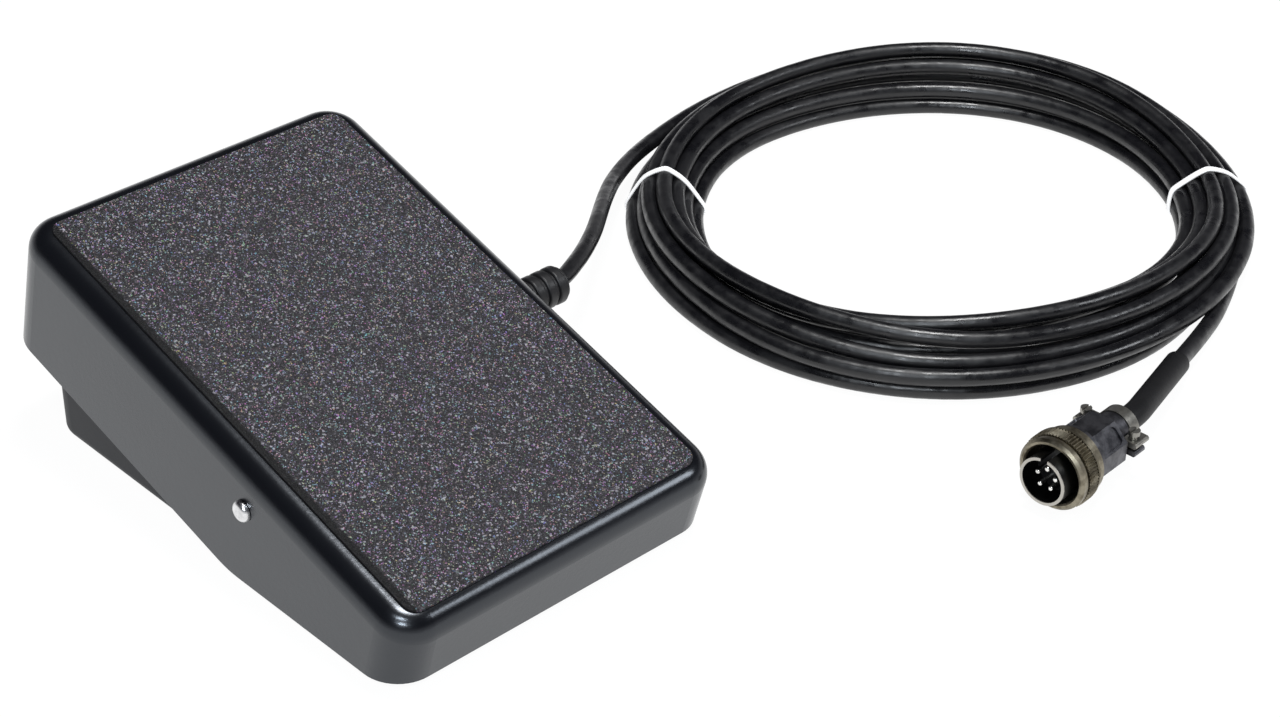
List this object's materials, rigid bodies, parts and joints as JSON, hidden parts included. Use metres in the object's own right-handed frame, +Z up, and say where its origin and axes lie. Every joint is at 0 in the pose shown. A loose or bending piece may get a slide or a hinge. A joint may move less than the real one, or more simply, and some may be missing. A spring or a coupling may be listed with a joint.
{
  "type": "foot control pedal",
  "caption": "Variable foot pedal: sprung wedge treadle with grip sheet on a base pan, gear-driven potentiometer, on/off switch, coiled cord and threaded multi-pin plug.",
  "frame": {"origin": "on the floor, under the middle of the pedal", "axes": "+Z up, +Y from heel to toe (the tall end), +X to the user's right, where the cord leaves"},
  "size_m": [0.4761, 0.3016, 0.0865],
  "materials": {
    "painted_black": "semi-gloss black enamel on pressed steel",
    "painted_base": "satin dark grey paint",
    "grip": "black anti-slip sheet with bright mineral grit",
    "bare_steel": "zinc-plated pressed steel",
    "bright_steel": "bright steel",
    "spring_steel": "oiled spring wire",
    "brass_gear": "machined brass",
    "pot_case": "dark moulded phenolic",
    "terminal_metal": "tinned brass",
    "switch_case": "black moulded plastic",
    "switch_red": "red moulded plastic",
    "nylon": "natural nylon",
    "bumper_rubber": "soft black rubber",
    "gland_plastic": "black nylon",
    "cord_rubber": "black rubber jacket",
    "sleeve_rubber": "matt black rubber sleeve",
    "tie_white": "white paper-covered tie",
    "wire_insulation": "light grey vinyl",
    "plug_nut_metal": "olive drab plating",
    "plug_shell_metal": "grey-olive plating",
    "plug_dark_metal": "dark grey plating",
    "plug_screw_metal": "plated steel",
    "plug_insert_plastic": "black insulator",
    "plug_pin_metal": "bright plated contact pins"
  },
  "bodies": {
    "base": {"base_pan": "painted_base", "bracket_rivets": "bright_steel", "coil_ties": "tie_white", "cord_coil": "cord_rubber", "cord_inner_end": "cord_rubber", "cord_lead": "cord_rubber", "cord_tail": "cord_rubber", "gland_body": "gland_plastic", "gland_cap": "gland_plastic", "gland_locknut": "bare_steel", "heel_bumper": "bumper_rubber", "heel_stop_bracket": "bare_steel", "pivot_rod": "bright_steel", "pivot_spacers": "bare_steel", "plug_backshell": "plug_dark_metal", "plug_clamp_base": "plug_dark_metal", "plug_clamp_saddle": "plug_screw_metal", "plug_clamp_screws": "plug_screw_metal", "plug_cord_end": "cord_rubber", "plug_cord_sleeve": "sleeve_rubber", "plug_insert": "plug_insert_plastic", "plug_pins": "plug_pin_metal", "plug_shell": "plug_shell_metal", "pot_body": "pot_case", "pot_bracket": "bare_steel", "pot_nut": "bright_steel", "pot_terminals": "terminal_metal", "pot_washer": "bright_steel", "pot_wires": "wire_insulation", "return_springs": "spring_steel", "rod_retaining_cap": "bright_steel", "rubber_feet": "bumper_rubber", "spring_locators": "nylon", "switch_body": "switch_case", "switch_bracket": "bare_steel", "switch_screws": "bright_steel", "switch_terminals": "terminal_metal", "switch_wires": "wire_insulation", "toe_bumper": "bumper_rubber", "toe_stop_bracket": "bare_steel"},
    "treadle": {"treadle_shell": "painted_black", "grip_pad": "grip", "treadle_brace": "bare_steel", "sector_gear": "bare_steel", "sector_screws": "bright_steel", "spring_cups": "bare_steel"},
    "pot_rotor": {"pot_shaft": "bright_steel", "pinion": "brass_gear", "pinion_set_screw": "bright_steel"},
    "button": {"switch_button": "switch_red"},
    "plug_nut": {"plug_coupling_nut": "plug_nut_metal"}
  },
  "joints": [
    {"name": "treadle_pivot", "type": "hinge", "parent": "base", "child": "treadle", "pos_m": [0, -0.02938, 0.03404], "axis": [-1, 0, 0], "range_deg": [0, 14], "stiffness_Nm_per_rad": 3, "springref_deg": -20.05, "deforming": ["return_springs"]},
    {"name": "pot_spin", "type": "hinge", "parent": "base", "child": "pot_rotor", "pos_m": [0, 0.0607, 0.03404], "axis": [-1, 0, 0], "range_deg": [-200, 2]},
    {"name": "switch_press", "type": "slide", "parent": "base", "child": "button", "axis": [0, 0, -1], "range_m": [0, 0.0034]},
    {"name": "plug_nut_turn", "type": "hinge", "parent": "base", "child": "plug_nut", "pos_m": [0.1613, -0.1777, 0.0143], "axis": [0.9976, 0.0698, 0], "continuous": true}
  ],
  "couplings": [
    {"joint": "pot_spin", "follows": "treadle_pivot", "ratio": -14},
    {"joint": "switch_press", "follows": "treadle_pivot", "m_per_rad": 0.01371}
  ]
}
